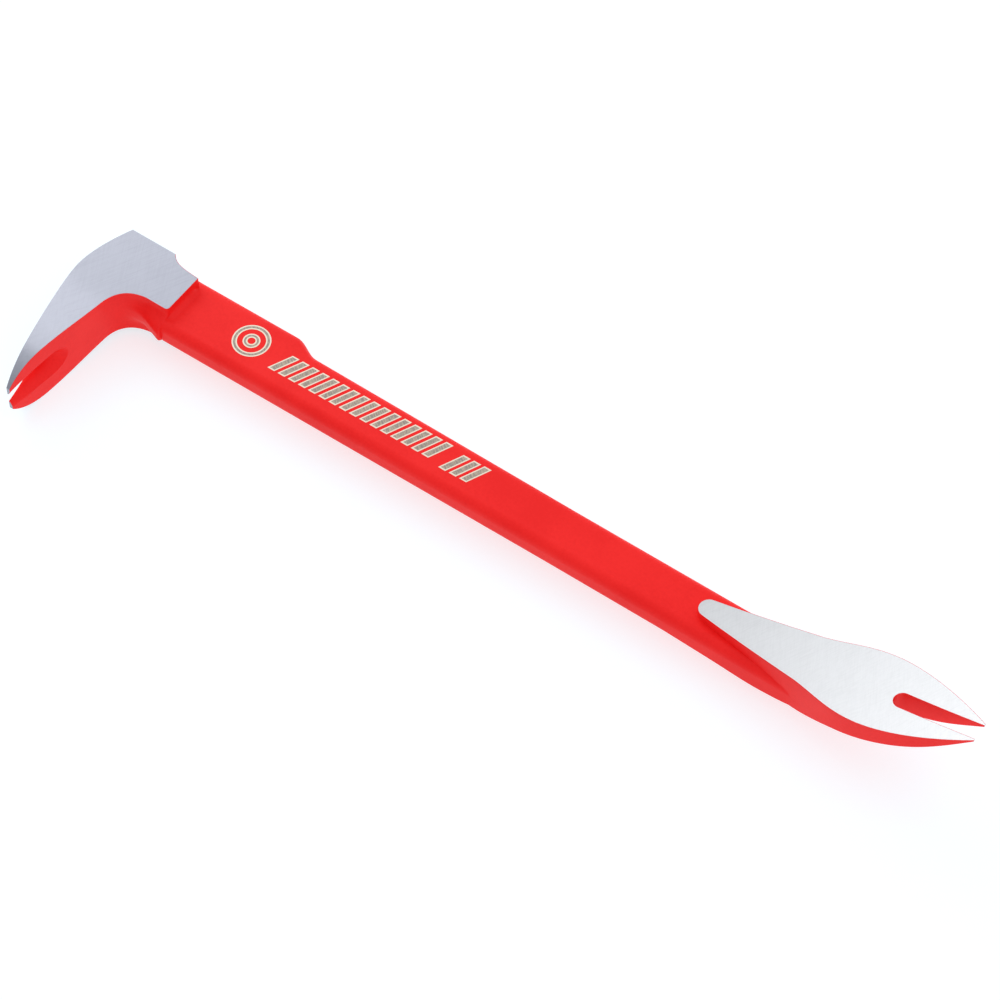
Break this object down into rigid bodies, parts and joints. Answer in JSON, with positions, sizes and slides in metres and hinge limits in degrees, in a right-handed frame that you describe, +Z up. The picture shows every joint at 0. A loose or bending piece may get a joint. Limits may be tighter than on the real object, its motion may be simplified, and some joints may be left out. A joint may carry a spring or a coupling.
{
  "type": "nail puller",
  "caption": "One-piece forged nail puller with a hooked claw and strike face at one end, a forked claw at the other, and a coloured coat ground off the working faces.",
  "frame": {"origin": "middle of the bounding box's underside, with the tool lying on its side", "axes": "+X runs along the shank from the head to the fork's tips, +Y is the way the strike face looks, and +Z is up, the way the fork bends"},
  "size_m": [0.254, 0.055, 0.0271],
  "materials": {
    "ground_steel": "bare forged steel, belt-ground on the working faces",
    "red_coat": "satin baked coat, bright red"
  },
  "bodies": {
    "root": {"forged_bar": "ground_steel", "colour_coat": "red_coat"}
  },
  "joints": []
}
